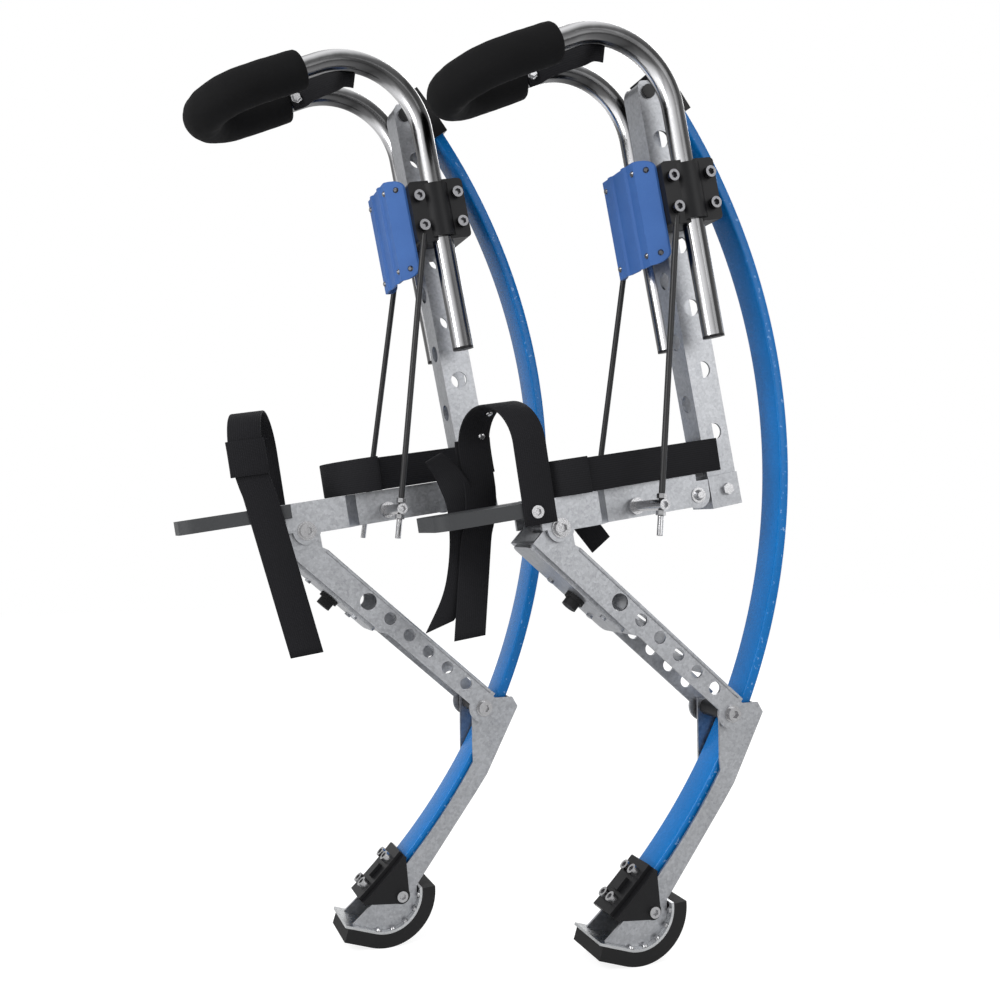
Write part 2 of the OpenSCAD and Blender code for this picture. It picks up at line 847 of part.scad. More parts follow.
module spring_clamp() {
    color(black) difference() {
        union() {
            across(2 * (ear_in + ear_t))
                arc_band(leaf_front_r - gap - ear_t, leaf_front_r - gap, clamp_from, clamp_to);
            across(leaf_w + 2)
                arc_band(leaf_front_r - gap - clamp_thick, leaf_front_r - gap, clamp_from, clamp_to);
            across(14) arc_band(
                leaf_front_r - gap - clamp_thick - 5, leaf_front_r - gap, clamp_from + 2.2, clamp_to - 2.2
            );
            both() translate([ear_in + ear_t / 2, 0, 0]) across(ear_t) {
                polygon([
                    leaf_mid + (leaf_front_r - 2) * [cos(clamp_to), sin(clamp_to)],
                    leaf_mid + (leaf_front_r - 2) * [cos(clamp_from), sin(clamp_from)],
                    cross_bolt + [-5, -9], cross_bolt + [9, 3]
                ]);
                translate(cross_bolt) circle(10);
            }
        }
        bar_x(-far, far, bolt_d + 2 * bolt_fit, cross_bolt);
    }
}

module hoof_rivet_places() {
    for (a = [-12, 12, 36, 60, 84]) {
        both() translate([sole_w / 2 - 4.5, sole_mid[0], sole_mid[1]]) rotate([a + 180, 0, 0]) children();
    }
}

module foot_fasteners() {
    ear_x = ear_in + ear_t;
    color(zinc) {
        bar_x(-ear_x, ear_x, bolt_d, cross_bolt);
        facing_x(ear_x, cross_bolt) socket_head(13, 5);
        mirror([1, 0, 0]) facing_x(ear_x, cross_bolt) hex_head(14, 6);
        clamp_studs() translate([0, 0, clamp_thick + 0.2]) socket_head(12, 8);
        hoof_rivet_places() {
            translate([0, 0, hoof_r - hoof_t - 2.2]) cylinder(d1 = 5, d2 = 7, h = 2);
            translate([0, 0, hoof_r - hoof_t - 0.3]) cylinder(d = 3, h = hoof_t + 4);
        }
    }
}

module hoof_plate() {
    color(chrome) difference() {
        across(sole_w) sole_band(hoof_r, hoof_r - hoof_t, toe_l + 4, heel_turn + 2);
        hoof_rivet_places() cylinder(d = 3 + 2 * bolt_fit, h = heel_r - 2);
    }
}

module hoof_sole() {
    color(black) difference() {
        across(sole_w) sole_band(heel_r, sole_in, toe_l, heel_turn);
        hoof_rivet_places() cylinder(d = 3 + 2 * bolt_fit, h = sole_in + 5);
    }
}

// Straps
module toe_strap(outer) {
    springing = toe_arch - toe_leg - web_t;
    tail = outer > 0 ? toe_tail - 28 : toe_tail;
    tail_lean = outer > 0 ? 0.29 : 0;
    color(webbing) deck() difference() {
        mirror([outer < 0 ? 1 : 0, 0, 0]) {
            multmatrix([
                [1, 0, 0, 0],
                [toe_skew, 1, 0, toe_y],
                [0, 0, 1, 0]
            ]) translate([0, web_w / 2, 0]) rotate([90, 0, 0]) linear_extrude(web_w) {
                intersection() {
                    translate([0, springing]) ring(2 * (toe_leg + web_t), 2 * toe_leg);
                    translate([-far / 2, springing]) square(far);
                }
                translate([toe_leg, 8]) square([web_t, springing - 8]);
                translate([-toe_leg - web_t, 0]) square([web_t, springing]);
            }
            multmatrix([
                [1, 0, 0, 0],
                [toe_skew, 1, tail_lean, toe_y],
                [0, 0, 1, 0]
            ]) translate([-toe_leg - web_t, -web_w / 2, -tail]) cube([web_t, web_w, tail + weld]);
        }
        mirror([outer < 0 ? 1 : 0, 0, 0]) bar_x(0, far, 6 + 2 * bolt_fit, toe_bolt);
    }
}

module ankle_strap() {
    tab = upright_w / 2 + gap;
    meet = 204;
    color(webbing) deck() translate([0, 0, ankle_low]) {
        linear_extrude(web_w) intersection() {
            translate([0, ankle_y]) ring(2 * (ankle_r + web_t), 2 * ankle_r);
            translate([-far / 2, ankle_y - far]) square(far);
        }
        both() linear_extrude(web_w) polygon([
            [ankle_r + 0.3, ankle_y - 6], [ankle_r + web_t - 0.7, ankle_y - 6],
            [ankle_r + web_t, ankle_y], [tab + web_t, meet],
            [tab + web_t, meet + 17], [tab, meet + 17], [tab, meet], [ankle_r, ankle_y]
        ]);
    }
}

left() upright_channel();  // left_upright_channel
left() base_shoe();  // left_base_shoe
left() frame_plates();  // left_frame_plates
left() foot_plate();  // left_foot_plate
left() frame_fasteners(1);  // left_frame_fasteners
left() front_pivot_bolt();  // left_front_pivot_bolt
left() cross_bar();  // left_cross_bar
left() stay_rods();  // left_stay_rods
left() clamp_core();  // left_clamp_core
left() clamp_caps();  // left_clamp_caps
left() clamp_fasteners();  // left_clamp_fasteners
left() calf_plate();  // left_calf_plate
left() knee_bar();  // left_knee_bar
left() knee_foam();  // left_knee_foam
left() knee_strap();  // left_knee_strap
left() knee_bar_plugs();  // left_knee_bar_plugs
left() arm_channel();  // left_arm_channel
left() arm_bumper();  // left_arm_bumper
left() rear_pivot_bolt();  // left_rear_pivot_bolt
left() rear_pivot_sleeves();  // left_rear_pivot_sleeves
left() foot_channel();  // left_foot_channel
left() spring_clamp();  // left_spring_clamp
left() foot_fasteners();  // left_foot_fasteners
left() hoof_plate();  // left_hoof_plate
left() hoof_sole();  // left_hoof_sole
left() leaf_spring();  // left_leaf_spring
left() spring_bracket();  // left_spring_bracket
left() spring_pin();  // left_spring_pin
left() toe_strap(1);  // left_toe_strap
left() ankle_strap();  // left_ankle_strap
right() upright_channel();  // right_upright_channel
right() base_shoe();  // right_base_shoe
right() frame_plates();  // right_frame_plates
right() foot_plate();  // right_foot_plate
right() frame_fasteners(-1);  // right_frame_fasteners
right() front_pivot_bolt();  // right_front_pivot_bolt
right() cross_bar();  // right_cross_bar
right() stay_rods();  // right_stay_rods
right() clamp_core();  // right_clamp_core
right() clamp_caps();  // right_clamp_caps
right() clamp_fasteners();  // right_clamp_fasteners
right() calf_plate();  // right_calf_plate
right() knee_bar();  // right_knee_bar
right() knee_foam();  // right_knee_foam
right() knee_strap();  // right_knee_strap
right() knee_bar_plugs();  // right_knee_bar_plugs
right() arm_channel();  // right_arm_channel
right() arm_bumper();  // right_arm_bumper
right() rear_pivot_bolt();  // right_rear_pivot_bolt
right() rear_pivot_sleeves();  // right_rear_pivot_sleeves
right() foot_channel();  // right_foot_channel
right() spring_clamp();  // right_spring_clamp
right() foot_fasteners();  // right_foot_fasteners
right() hoof_plate();  // right_hoof_plate
right() hoof_sole();  // right_hoof_sole
right() leaf_spring();  // right_leaf_spring
right() spring_bracket();  // right_spring_bracket
right() spring_pin();  // right_spring_pin
right() toe_strap(-1);  // right_toe_strap
right() ankle_strap();  // right_ankle_strap
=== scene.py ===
import json
import math

import bmesh
import bpy
from mathutils import Matrix, Vector, noise


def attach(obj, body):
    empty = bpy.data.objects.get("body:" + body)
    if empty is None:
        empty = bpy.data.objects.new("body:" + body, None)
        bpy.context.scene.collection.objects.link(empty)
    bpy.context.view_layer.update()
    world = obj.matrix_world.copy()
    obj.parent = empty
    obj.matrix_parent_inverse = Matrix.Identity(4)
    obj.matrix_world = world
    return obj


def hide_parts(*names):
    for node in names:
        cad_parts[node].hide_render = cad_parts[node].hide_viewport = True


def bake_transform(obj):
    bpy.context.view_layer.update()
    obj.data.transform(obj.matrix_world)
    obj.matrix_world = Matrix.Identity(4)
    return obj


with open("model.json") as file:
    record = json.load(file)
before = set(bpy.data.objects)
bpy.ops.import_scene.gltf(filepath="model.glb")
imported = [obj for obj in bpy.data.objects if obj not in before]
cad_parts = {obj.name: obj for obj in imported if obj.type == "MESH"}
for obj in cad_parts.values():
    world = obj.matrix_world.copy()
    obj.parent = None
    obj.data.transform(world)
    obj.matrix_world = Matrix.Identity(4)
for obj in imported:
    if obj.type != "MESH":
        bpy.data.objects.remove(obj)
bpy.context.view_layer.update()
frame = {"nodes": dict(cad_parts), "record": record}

scene = bpy.context.scene
mm = 0.001

# where each stilt stands in the pair, in mm, and which side its toe strap is bolted on
stilts = {
    "left": {"at": (79.0, 42.42), "outer": 1},
    "right": {"at": (-79.0, -207.58), "outer": -1},
}
# the foot plate's slope and height, and the upright's lean and foot, in degrees and mm
stance = {"deckSlope": 8.5, "deckZ": 490.0, "lean": 10.6, "heel": (222.0, 520.0)}


class Wire:
    # a socket that takes part in shader sums
    def __init__(self, tree, socket=None):
        self.tree = tree
        self.socket = socket

    def feed(self, target, values):
        for key, value in values.items():
            if isinstance(value, Wire):
                self.tree.links.new(value.socket, target.inputs[key])
            else:
                target.inputs[key].default_value = value

    def node(self, kind, settings=None, values=None, out=0):
        made = self.tree.nodes.new(kind)
        for key, value in (settings or {}).items():
            if key == "stops":
                ramp = made.color_ramp.elements
                while len(ramp) < len(value):
                    ramp.new(0.5)
                for element, (place, colour) in zip(ramp, value):
                    element.position = place
                    element.color = colour
            else:
                setattr(made, key, value)
        self.feed(made, values or {})
        return Wire(self.tree, made.outputs[out])

    def sum(self, operation, first, second):
        return self.node("ShaderNodeMath", {"operation": operation}, {0: first, 1: second})

    def __add__(self, other):
        return self.sum("ADD", self, other)

    def __radd__(self, other):
        return self.sum("ADD", other, self)

    def __sub__(self, other):
        return self.sum("SUBTRACT", self, other)

    def __rsub__(self, other):
        return self.sum("SUBTRACT", other, self)

    def __mul__(self, other):
        return self.sum("MULTIPLY", self, other)

    def __rmul__(self, other):
        return self.sum("MULTIPLY", other, self)


def startFinish(name):
    material = bpy.data.materials.new(name)
    material.use_nodes = True
    return material, Wire(material.node_tree), material.node_tree.nodes["Principled BSDF"]


def placeOn(wire, stretch=(1, 1, 1)):
    where = wire.node("ShaderNodeTexCoord", out="Object")
    return wire.node("ShaderNodeVectorMath", {"operation": "MULTIPLY"}, {0: where, 1: stretch})


def cloud(wire, where, scale, detail=3.0, rough=0.55):
    values = {"Vector": where, "Scale": scale, "Detail": detail, "Roughness": rough}
    return wire.node("ShaderNodeTexNoise", None, values)


def wave(wire, where, direction, scale, distortion, detail):
    values = {"Vector": where, "Scale": scale, "Distortion": distortion, "Detail": detail}
    return wire.node("ShaderNodeTexWave", {"bands_direction": direction}, values, out="Fac")


def facing(wire, direction):
    # how far the surface is turned to a direction, from -1 to 1
    normal = wire.node("ShaderNodeNewGeometry", out="Normal")
    values = {0: normal, 1: direction}
    return wire.node("ShaderNodeVectorMath", {"operation": "DOT_PRODUCT"}, values, out="Value")


def between(span, share):
    low, high = span
    return low + (high - low) * share


def tint(wire, share, dark, light):
    # a colour mix has its share at 0, its colours at 6 and 7, and its result at 2
    values = {0: share, 6: (*dark, 1), 7: (*light, 1)}
    return wire.node("ShaderNodeMix", {"data_type": "RGBA"}, values, out=2)


def bump(wire, height, strength, distance):
    values = {"Strength": strength, "Distance": distance, "Height": height}
    return wire.node("ShaderNodeBump", None, values)


# bare metals: cloudy tone, speckle and zinc crystals, and a roughness that follows them
metalFinishes = {
    "alloy": {"dark": (0.165, 0.170, 0.182), "light": (0.63, 0.642, 0.668), "rough": (0.34, 0.52),
              "speckle": 420, "cloud": 22, "crystals": 330, "grain": (1, 1, 1), "bump": 0.30},
    "zinc": {"dark": (0.26, 0.26, 0.27), "light": (0.66, 0.66, 0.67), "rough": (0.14, 0.28),
             "speckle": 900, "cloud": 40, "crystals": 700, "grain": (1, 1, 1), "bump": 0.12},
    "dark_zinc": {"dark": (0.06, 0.06, 0.065), "light": (0.22, 0.22, 0.23), "rough": (0.16, 0.30),
                  "speckle": 900, "cloud": 40, "crystals": 700, "grain": (1, 1, 1), "bump": 0.10},
    "bright_plate": {"dark": (0.42, 0.43, 0.44), "light": (0.72, 0.73, 0.74), "rough": (0.18, 0.36),
                     "speckle": 650, "cloud": 30, "crystals": 500, "grain": (1, 0.2, 1), "bump": 0.15},
}
metalMix = {"speckle": 0.44, "patches": 0.28, "crystals": 0.28, "relief": 0.0004}


def metalFinish(name):
    look = metalFinishes[name]
    material, wire, shader = startFinish(name)
    where = placeOn(wire, look["grain"])
    speckle = cloud(wire, where, look["speckle"], detail=4.0, rough=0.7)
    patches = cloud(wire, where, look["cloud"])
    cells = {"Vector": where, "Scale": look["crystals"]}
    crystals = wire.node("ShaderNodeTexVoronoi", None, cells, out="Color")  # the sum takes it as a grey
    share = speckle * metalMix["speckle"] + patches * metalMix["patches"] + crystals * metalMix["crystals"]
    wire.feed(shader, {
        "Base Color": tint(wire, share, look["dark"], look["light"]),
        "Metallic": 1.0,
        "Roughness": between(look["rough"], share),
        "Normal": bump(wire, speckle, look["bump"], metalMix["relief"]),
    })
    return material


# chromed tube: bands that follow the tube's round, a dark room's reflection painted into the colour as painted
# reflection, stirred by fine streaks along it, with fine wear in roughness and relief
chromeLook = {
    "facing": (0.30, 0.80, -0.52), "rough": (0.12, 0.24), "blue": 1.02,
    "reflectionStreaks": 160.0, "along": (1, 0.25, 0.06), "stir": 0.10,
    "scuffs": 500.0, "bump": 0.05, "relief": 0.0003,
    # painted reflection: where each band sits across the tube's round, and how bright it is painted
    "stops": (
        (0.00, 0.16), (0.10, 0.10), (0.22, 0.16), (0.32, 0.88), (0.41, 0.94),
        (0.50, 0.62), (0.59, 0.16), (0.68, 0.05), (0.80, 0.12), (0.92, 0.26),
    ),
}


def chromeFinish():
    look = chromeLook
    material, wire, shader = startFinish("chrome_tube")
    reflectionStreaks = cloud(wire, placeOn(wire, look["along"]), look["reflectionStreaks"])
    scuffs = cloud(wire, placeOn(wire), look["scuffs"], detail=4.0, rough=0.7)
    # painted reflection: the ramp paints the bands by how the surface faces one fixed direction, wobbled by the
    # streaks
    place = facing(wire, look["facing"]) * 0.5 + 0.5 + (reflectionStreaks - 0.5) * look["stir"]
    stops = [(spot, (v, v, v * look["blue"], 1)) for spot, v in look["stops"]]
    wire.feed(shader, {
        "Base Color": wire.node("ShaderNodeValToRGB", {"stops": stops}, {0: place}),
        "Metallic": 1.0,
        "Roughness": between(look["rough"], scuffs),
        "Normal": bump(wire, scuffs, look["bump"], look["relief"]),
    })
    return material


# coated and moulded finishes
coatFinishes = {
    "black_moulding": {"dark": (0.004, 0.004, 0.005), "light": (0.012, 0.012, 0.013), "rough": (0.34, 0.50),
                       "grain": 1400, "bump": 0.2, "coat": 0.0, "shine": 0.22},
    "black_cast": {"dark": (0.004, 0.004, 0.005), "light": (0.014, 0.014, 0.015), "rough": (0.30, 0.48),
                   "grain": 800, "bump": 0.3, "coat": 0.0, "shine": 0.22},
    "black_rod": {"dark": (0.006, 0.006, 0.007), "light": (0.018, 0.018, 0.019), "rough": (0.35, 0.5),
                  "grain": 600, "bump": 0.12, "coat": 0.05, "shine": 0.34},
    "deck": {"dark": (0.028, 0.030, 0.032), "light": (0.060, 0.062, 0.066), "rough": (0.50, 0.68),
             "grain": 1500, "bump": 0.55, "coat": 0.0, "shine": 0.35},
    "rubber": {"dark": (0.004, 0.004, 0.004), "light": (0.013, 0.013, 0.014), "rough": (0.60, 0.80),
               "grain": 900, "bump": 0.35, "coat": 0.0, "shine": 0.30},
    "foam": {"dark": (0.002, 0.002, 0.002), "light": (0.010, 0.010, 0.011), "rough": (0.86, 0.98),
             "grain": 1300, "bump": 0.8, "coat": 0.0, "shine": 0.16},
}
coatMix = {"cloud": 22.0, "grain": 0.5, "patches": 0.5, "relief": 0.0003}


def coatFinish(name):
    look = coatFinishes[name]
    material, wire, shader = startFinish(name)
    where = placeOn(wire)
    grain = cloud(wire, where, look["grain"], detail=4.0, rough=0.65)
    patches = cloud(wire, where, coatMix["cloud"])
    share = grain * coatMix["grain"] + patches * coatMix["patches"]
    wire.feed(shader, {
        "Base Color": tint(wire, share, look["dark"], look["light"]),
        "Roughness": between(look["rough"], share),
        "Coat Weight": look["coat"],
        "Specular IOR Level": look["shine"],
        "Normal": bump(wire, grain, look["bump"], coatMix["relief"]),
    })
    return material


# the leaf's blue lacquer, with painted shade on its two side edges and pale flecks along them, partly chips and
# partly painted highlights
leafLacquer = {
    "dark": (0.002, 0.105, 0.31), "light": (0.004, 0.200, 0.62), "chipAndGlint": (0.40, 0.56, 0.72),
    "lightAt": 0.8, "rough": (0.20, 0.34), "coat": 0.05, "shine": 0.22,
    "grain": 120.0, "cloud": 22.0, "tone": 0.25, "paintedEdgeShade": 0.25,
    "chipsAndGlints": 170.0, "chipsAndGlintsAbove": 0.64, "chipAndGlintShare": 0.5, "bump": 0.06, "relief": 0.0003,
}


def leafFinish():
    look = leafLacquer
    material, wire, shader = startFinish("blue_leaf")
    where = placeOn(wire)
    grain = cloud(wire, where, look["grain"], detail=4.0, rough=0.65)
    patches = cloud(wire, where, look["cloud"])
    across = facing(wire, (1, 0, 0))
    edge = across * across  # 1 on the leaf's two edges, 0 on its faces
    # pale flecks on the two edges, partly chipped lacquer and partly painted highlights along the edge corners
    chipsAndGlints = wire.sum("GREATER_THAN", cloud(wire, where, look["chipsAndGlints"], rough=0.6), look["chipsAndGlintsAbove"]) * edge
    # painted shade: the two side edges are darkened in the colour, as if turned away from the light
    tone = (grain + patches + 1.0) * look["tone"] * (1.0 - edge * look["paintedEdgeShade"])
    stops = [(0.0, (*look["dark"], 1)), (look["lightAt"], (*look["light"], 1)), (1.0, (*look["chipAndGlint"], 1))]
    share = tone + chipsAndGlints * look["chipAndGlintShare"]
    wire.feed(shader, {
        "Base Color": wire.node("ShaderNodeValToRGB", {"stops": stops}, {0: share}),
        "Roughness": between(look["rough"], grain),
        "Coat Weight": look["coat"],
        "Specular IOR Level": look["shine"],
        "Normal": bump(wire, grain, look["bump"], look["relief"]),
    })
    return material


# the calf plate's grained blue cover
calfCover = {
    "dark": (0.018, 0.072, 0.26), "light": (0.060, 0.168, 0.45), "rough": (0.48, 0.64), "shine": 0.3,
    "threads": 620.0, "flecks": 900.0, "cloud": 30.0, "bump": 0.35, "relief": 0.0004,
}


def calfFinish():
    look = calfCover
    material, wire, shader = startFinish("blue_plate")
    where = placeOn(wire)
    threads = wave(wire, where, "DIAGONAL", look["threads"], distortion=2.5, detail=2.0)
    flecks = cloud(wire, where, look["flecks"], detail=4.0, rough=0.7)
    patches = cloud(wire, where, look["cloud"])
    share = threads * 0.3 + flecks * 0.4 + patches * 0.3
    wire.feed(shader, {
        "Base Color": tint(wire, share, look["dark"], look["light"]),
        "Roughness": between(look["rough"], flecks),
        "Specular IOR Level": look["shine"],
        "Normal": bump(wire, threads * 0.5 + flecks * 0.5, look["bump"], look["relief"]),
    })
    return material


# woven straps: ribs across and a fine cord along, from the strap's own length and width
webbingLook = {
    "dark": (0.003, 0.003, 0.004), "light": (0.017, 0.017, 0.020), "rough": (0.72, 0.92), "shine": 0.22,
    "ribs": 191.0828, "cords": 130.5732, "fuzz": 500.0, "bump": 0.6, "relief": 0.0005,
}


def webbingFinish():
    look = webbingLook
    material, wire, shader = startFinish("webbing")
    run = wire.node("ShaderNodeTexCoord", out="UV")
    ribs = wave(wire, run, "Y", look["ribs"], distortion=0.6, detail=1.0)
    cords = wave(wire, run, "X", look["cords"], distortion=0.4, detail=1.0)
    fuzz = cloud(wire, placeOn(wire), look["fuzz"], detail=4.0, rough=0.7)
    weave = ribs * cords
    wire.feed(shader, {
        "Base Color": tint(wire, weave * 0.6 + fuzz * 0.4, look["dark"], look["light"]),
        "Roughness": between(look["rough"], fuzz),
        "Specular IOR Level": look["shine"],
        "Normal": bump(wire, weave * 0.7 + fuzz * 0.3, look["bump"], look["relief"]),
    })
    return material


finishes = {name: metalFinish(name) for name in metalFinishes}
finishes.update({name: coatFinish(name) for name in coatFinishes})
finishes["chrome_tube"] = chromeFinish()
finishes["blue_leaf"] = leafFinish()
finishes["blue_plate"] = calfFinish()
finishes["webbing"] = webbingFinish()
print("finishes", len(finishes))

slotOf = {row["node"]: row["material_slot"] for row in frame["record"]["subparts"]}
darker = {"clamp_fasteners": "dark_zinc"}  # socket screws, darker than the other zinc
for nodeName, solid in frame["nodes"].items():
    solid.data.materials.clear()
    solid.data.materials.append(finishes[darker.get(nodeName.split("_", 1)[1], slotOf[nodeName])])
print("solids dressed", len(slotOf))


def turned(angle, y, z):
    c, s = math.cos(math.radians(angle)), math.sin(math.radians(angle))
    return y * c - z * s, y * s + z * c


def stiltPoint(side, x, y, z):
    place = stilts[side]["at"]
    return Vector(((x + place[0]) * mm, (y + place[1]) * mm, z * mm))


def deckPoint(side, x, dy, dz):
    # along and above the foot plate
    y, z = turned(stance["deckSlope"], dy, dz)
    return stiltPoint(side, x, y, z + stance["deckZ"])


def deckWay(side, dy, dz):
    return (deckPoint(side, 0, dy, dz) - deckPoint(side, 0, 0, 0)).normalized()


def mastPoint(side, x, ly, lz):
    # across and along the upright
    y, z = turned(stance["lean"], ly, lz)
    return stiltPoint(side, x, y + stance["heel"][0], z + stance["heel"][1])


def roundedBar(width, thick, corner, steps=3):
    # outline of a flat bar with round corners, in mm
    outline = []
    for cx, cy, start in ((1, 1, 0), (-1, 1, 90), (-1, -1, 180), (1, -1, 270)):
        for k in range(steps + 1):
            a = math.radians(start + 90 * k / steps)
            outline.append((
                cx * (width / 2 - corner) + corner * math.cos(a),
                cy * (thick / 2 - corner) + corner * math.sin(a),
            ))
    return outline


def framesAlong(points, across):
    # a frame at each point: the width's direction is given, the other axis stands off the run
    frames = []
    for i, point in enumerate(points):
        ahead = points[min(i + 1, len(points) - 1)] - points[max(i - 1, 0)]
        side = (across[i] if isinstance(across, list) else across).normalized()
        frames.append((point, side, ahead.cross(side).normalized()))
    return frames


def sweep(name, frames, sections, slotName, capped=True):
    # one section for the whole run, or a list with one for each frame
    mesh = bpy.data.meshes.new(name)
    builder = bmesh.new()
    uvLayer = builder.loops.layers.uv.new("run")
    rings, lengths, run = [], [], 0.0
    for i, (origin, side, out) in enumerate(frames):
        section = sections[i] if isinstance(sections[0], list) else sections
        rings.append([builder.verts.new(origin + side * (u * mm) + out * (v * mm)) for u, v in section])
        run += (origin - frames[max(i - 1, 0)][0]).length
        lengths.append(run)
    first = sections[0] if isinstance(sections[0], list) else sections
    count = len(first)
    for i in range(len(rings) - 1):
        for k in range(count):
            n = (k + 1) % count
            face = builder.faces.new((rings[i][k], rings[i][n], rings[i + 1][n], rings[i + 1][k]))
            spots = ((first[k][0], i), (first[n][0], i), (first[n][0], i + 1), (first[k][0], i + 1))
            for loop, (u, row) in zip(face.loops, spots):
                loop[uvLayer].uv = (u * mm, lengths[row])
    if capped:
        builder.faces.new(rings[0])
        builder.faces.new(list(reversed(rings[-1])))
    bmesh.ops.recalc_face_normals(builder, faces=builder.faces)
    for face in builder.faces:
        face.smooth = len(face.verts) == 4
    builder.to_mesh(mesh)
    builder.free()
    piece = bpy.data.objects.new(name, mesh)
    scene.collection.objects.link(piece)
    mesh.materials.append(finishes[slotName])
    return piece


# the leaf spring: one arc with soft edges, between its upper end and the foot
leaf = {"mid": (-399.0, 566.0), "radius": 701.5, "width": 40.0, "thick": 12.0, "corner": 2.2,
        "from": -47.3, "to": 39.9, "steps": 150, "bendFrom": 32.0, "bendTo": -22.0}


def leafPoint(side, angle):
    a, (y, z) = math.radians(angle), leaf["mid"]
    return stiltPoint(side, 0, y + leaf["radius"] * math.cos(a), z + leaf["radius"] * math.sin(a))


def makeLeaf(side):
    points = []
    for k in range(leaf["steps"] + 1):
        points.append(leafPoint(side, leaf["to"] + (leaf["from"] - leaf["to"]) * k / leaf["steps"]))
    frames = framesAlong(points, Vector((1, 0, 0)))
    outline = roundedBar(leaf["width"], leaf["thick"], leaf["corner"])
    piece = sweep(side + "_leaf", frames, outline, "blue_leaf")
    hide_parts(side + "_leaf_spring")
    tuple(leafPoint(side, leaf["bendFrom"]))
    tuple(leafPoint(side, leaf["bendTo"]))
    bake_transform(piece)


# the line of the knee bar: up the mast, round a bend and forward in two arms that meet in a bow
knee = {"halfGap": 54.0, "bendStart": 452.0, "bendRadius": 90.0, "bendAngle": 104.0, "arm": 81.0}


def kneePoint(side, x, s, up=0.0):
    # a point on the arm's line: s along the arm from the end of the bend, up off its plane
    a, r = math.radians(knee["bendAngle"]), knee["bendRadius"]
    ly = -r + (r + up) * math.cos(a) - s * math.sin(a)
    lz = knee["bendStart"] + (r + up) * math.sin(a) + s * math.cos(a)
    return mastPoint(side, x, ly, lz)


def kneeAlong(side, x, s, up):
    # as kneePoint for s above 0, and back along the bend below it
    if s >= 0:
        return kneePoint(side, x, s, up)
    a = math.radians(knee["bendAngle"]) + s / knee["bendRadius"]
    r = knee["bendRadius"] + up
    return mastPoint(side, x, -knee["bendRadius"] + r * math.cos(a), knee["bendStart"] + r * math.sin(a))


# the knee bar's foam sleeve, swept along both arms and round the bow, with rounded ends
foam = {"from": 19.0, "radius": 23.0, "bore": 12.8, "endRound": 7.0, "endTurns": (0.4, 0.8, 1.2),
        "mouth": (3.0, 0.4), "armSteps": 16, "bowSteps": 48, "endRows": 3, "spokes": 40,
        "lump": 0.5, "lumpsRound": 1.5, "lumpsAlong": 0.35}


def foamRing(radius, row):
    ring = []
    for k in range(foam["spokes"]):
        a = 2 * math.pi * k / foam["spokes"]
        spread = foam["lumpsRound"]
        spot = Vector((math.cos(a) * spread, math.sin(a) * spread, row * foam["lumpsAlong"]))
        r = radius + foam["lump"] * noise.noise(spot)
        ring.append((r * math.cos(a), r * math.sin(a)))
    return ring


def foamEnd(last, away):
    # rings that open from the tube to the sleeve's full size
    origin, across, out = last
    full, soft = foam["radius"], foam["endRound"]
    rows = [(foam["bore"], inward) for inward in foam["mouth"]] + [(full - soft, 0.0)]
    rows += [(full - soft + soft * math.sin(t), soft - soft * math.cos(t)) for t in foam["endTurns"]]
    return [((origin + away * (inward * mm), across, out), foamRing(r, 0)) for r, inward in rows]


def makeFoam(side):
    half, arm, start = knee["halfGap"], knee["arm"], foam["from"]
    steps, bow = foam["armSteps"], foam["bowSteps"]
    run = [(half, start + (arm - start) * k / steps) for k in range(steps)]
    for k in range(bow + 1):
        a = math.pi * k / bow
        run.append((half * math.cos(a), arm + half * math.sin(a)))
    run += [(-half, arm - (arm - start) * k / steps) for k in range(1, steps + 1)]
    points = [kneePoint(side, x, s) for x, s in run]
    lift = (kneePoint(side, 0, 0, 1.0) - kneePoint(side, 0, 0)).normalized()
    frames = framesAlong(points, lift)
    ahead = (points[1] - points[0]).normalized()
    back = (points[-2] - points[-1]).normalized()
    rows = foamEnd(frames[0], ahead)
    for i in range(foam["endRows"], len(frames) - foam["endRows"]):
        rows.append((frames[i], foamRing(foam["radius"], i)))
    rows += reversed(foamEnd(frames[-1], back))
    piece = sweep(side + "_foam_sleeve", [r[0] for r in rows], [r[1] for r in rows], "foam", capped=False)
    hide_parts(side + "_knee_foam")
    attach(piece, side + "_knee")


# webbing: a flat strap with soft edges
strap = {"width": 38.0, "thick": 2.6, "corner": 1.0}


def makeStrap(name, points, across, body, width=None, thick=None):
    outline = roundedBar(width or strap["width"], thick or strap["thick"], strap["corner"], 2)
    piece = sweep(name, framesAlong(points, across), outline, "webbing")
    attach(piece, body)
    return piece


def easeCurve(points, steps):
    # a smooth run through a few points
    out = []
    for i in range(len(points) - 1):
        a, b = points[i], points[i + 1]
        before = points[i - 1] if i else a
        after = points[i + 2] if i + 2 < len(points) else b
        for k in range(steps):
            t = k / steps
            out.append(
                0.5 * ((2 * a) + (b - before) * t + (2 * before - 5 * a + 4 * b - after) * t ** 2
                       + (3 * a - before - 3 * b + after) * t ** 3)
            )
    out.append(points[-1])
    return out


# the toe strap: bolted outside, over the instep, down the inner side and into its tail
toe = {"leg": 47.6, "arch": 145.7, "foot": 8.0, "middle": -40.0, "skew": 0.32, "easeIn": 60.0,
       "legSteps": 8, "archSteps": 32, "tailSteps": 24,
       # lowest point, forward lean, and the height it leans from
       "tail": {"left": (-112.0, 0.23, 60.0), "right": (-140.0, -0.13, 108.0)}}


